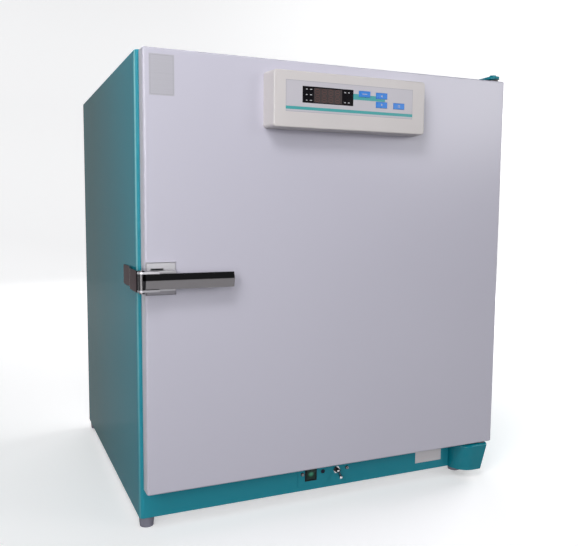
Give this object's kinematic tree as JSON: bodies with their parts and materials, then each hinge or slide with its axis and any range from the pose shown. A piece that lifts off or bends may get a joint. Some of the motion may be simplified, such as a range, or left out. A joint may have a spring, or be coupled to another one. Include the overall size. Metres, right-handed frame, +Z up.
{
  "type": "dry heat sterilizer",
  "caption": "Bench dry heat sterilizer: teal box cabinet, thick pale hinged door with side latch lever and a raised control panel, plinth switches, fan-stirred steel chamber with shelves.",
  "frame": {"origin": "middle of the whole machine's outline seen from above, on the plane its feet stand on", "axes": "+Z up, +Y from the door to the back, +X to the right seen from the front"},
  "size_m": [0.65, 0.5956, 0.711],
  "materials": {
    "case_teal": "semi-gloss dark teal coat",
    "hinge_teal": "semi-gloss teal coat",
    "door_lilac": "satin pale lilac-grey coat",
    "frame_grey": "satin grey coat",
    "stainless": "brushed",
    "zinc_sheet": "dull zinc",
    "fasteners": "bright zinc",
    "heater_steel": "heat-browned",
    "copper_bulb": "dull copper",
    "wool": "fibrous matte",
    "foot_rubber": "matte grey",
    "seal_rubber": "matte silicone",
    "housing_plastic": "fine matte warm white",
    "overlay_film": "satin film",
    "window_black": "glossy black",
    "display_body": "matte",
    "board_green": "lacquered",
    "key_blue": "satin blue",
    "chrome": "polished",
    "black_plastic": "fine matte black",
    "rocker_green": "translucent green",
    "motor_iron": "varnished laminations",
    "fin_aluminium": "extruded",
    "terminal_cream": "matte",
    "bush_iron": "dark sintered iron"
  },
  "bodies": {
    "cabinet": {"case_shell": "case_teal", "front_frame": "frame_grey", "chamber_liner": "stainless", "insulation_wrap": "wool", "insulation_back": "wool", "inner_rear_wall": "zinc_sheet", "base_ceiling": "zinc_sheet", "base_pan": "zinc_sheet", "rear_panel": "zinc_sheet", "rear_panel_screws": "fasteners", "feet": "foot_rubber", "fan_baffle": "stainless", "heater": "heater_steel", "motor_strap": "zinc_sheet", "fan_motor": "motor_iron", "shelf_rack_left": "stainless", "shelf_rack_right": "stainless", "shelf_lower": "stainless", "shelf_middle": "stainless", "shelf_upper": "stainless", "temperature_probe": "stainless", "safety_bulb": "copper_bulb", "vent_pipe": "stainless", "cable_gland": "black_plastic", "top_hinge_bracket": "hinge_teal", "hinge_bolt": "hinge_teal", "lower_hinge_block": "hinge_teal", "hinge_pin": "zinc_sheet", "latch_keeper": "chrome", "control_plate": "case_teal", "control_plate_screws": "fasteners", "rocker_housing": "black_plastic", "thermostat_body": "black_plastic", "toggle_housing": "black_plastic", "toggle_nut": "fasteners", "power_module": "fin_aluminium", "terminal_block": "terminal_cream"},
    "door": {"door_shell": "door_lilac", "door_insulation": "wool", "door_liner": "stainless", "door_liner_screws": "fasteners", "door_gasket": "seal_rubber", "hinge_bushes": "bush_iron", "control_housing": "housing_plastic", "membrane_overlay": "overlay_film", "display_window": "window_black", "display_module": "display_body", "circuit_board": "board_green", "latch_base": "chrome", "latch_pin": "fasteners"},
    "fan_rotor": {"fan_wheel": "stainless", "fan_shaft": "stainless"},
    "latch_lever": {"latch_lever": "chrome"},
    "rocker": {"rocker": "rocker_green"},
    "reset_button": {"reset_button": "black_plastic"},
    "toggle_lever": {"toggle_lever": "chrome"},
    "mode_key": {"mode_key": "key_blue"},
    "up_key": {"up_key": "key_blue"},
    "down_key": {"down_key": "key_blue"},
    "start_key": {"start_key": "key_blue"}
  },
  "joints": [
    {"name": "door_swing", "type": "hinge", "parent": "cabinet", "child": "door", "pos_m": [0.303, -0.2592, 0.3825], "axis": [0, 0, 1], "range_deg": [0, 120]},
    {"name": "latch_turn", "type": "hinge", "parent": "door", "child": "latch_lever", "pos_m": [-0.319, -0.2862, 0.3792], "axis": [0, 0, -1], "range_deg": [0, 30], "stiffness_Nm_per_rad": 0.6, "springref_deg": -20.05},
    {"name": "fan_spin", "type": "hinge", "parent": "cabinet", "child": "fan_rotor", "pos_m": [0.005, 0.1288, 0.364], "axis": [0, 1, 0], "continuous": true},
    {"name": "rocker_tip", "type": "hinge", "parent": "cabinet", "child": "rocker", "pos_m": [-0.0288, -0.2352, 0.0446], "axis": [-1, 0, 0], "range_deg": [0, 16]},
    {"name": "reset_press", "type": "slide", "parent": "cabinet", "child": "reset_button", "axis": [0, 1, 0], "range_m": [0, 0.0025], "stiffness_N_per_m": 300},
    {"name": "toggle_tip", "type": "hinge", "parent": "cabinet", "child": "toggle_lever", "pos_m": [0.019, -0.2448, 0.0446], "axis": [-1, 0, 0], "range_deg": [0, 76]},
    {"name": "mode_key_press", "type": "slide", "parent": "door", "child": "mode_key", "axis": [0, 1, 0], "range_m": [0, 0.0005], "stiffness_N_per_m": 500},
    {"name": "up_key_press", "type": "slide", "parent": "door", "child": "up_key", "axis": [0, 1, 0], "range_m": [0, 0.0005], "stiffness_N_per_m": 500},
    {"name": "down_key_press", "type": "slide", "parent": "door", "child": "down_key", "axis": [0, 1, 0], "range_m": [0, 0.0005], "stiffness_N_per_m": 500},
    {"name": "start_key_press", "type": "slide", "parent": "door", "child": "start_key", "axis": [0, 1, 0], "range_m": [0, 0.0005], "stiffness_N_per_m": 500}
  ]
}
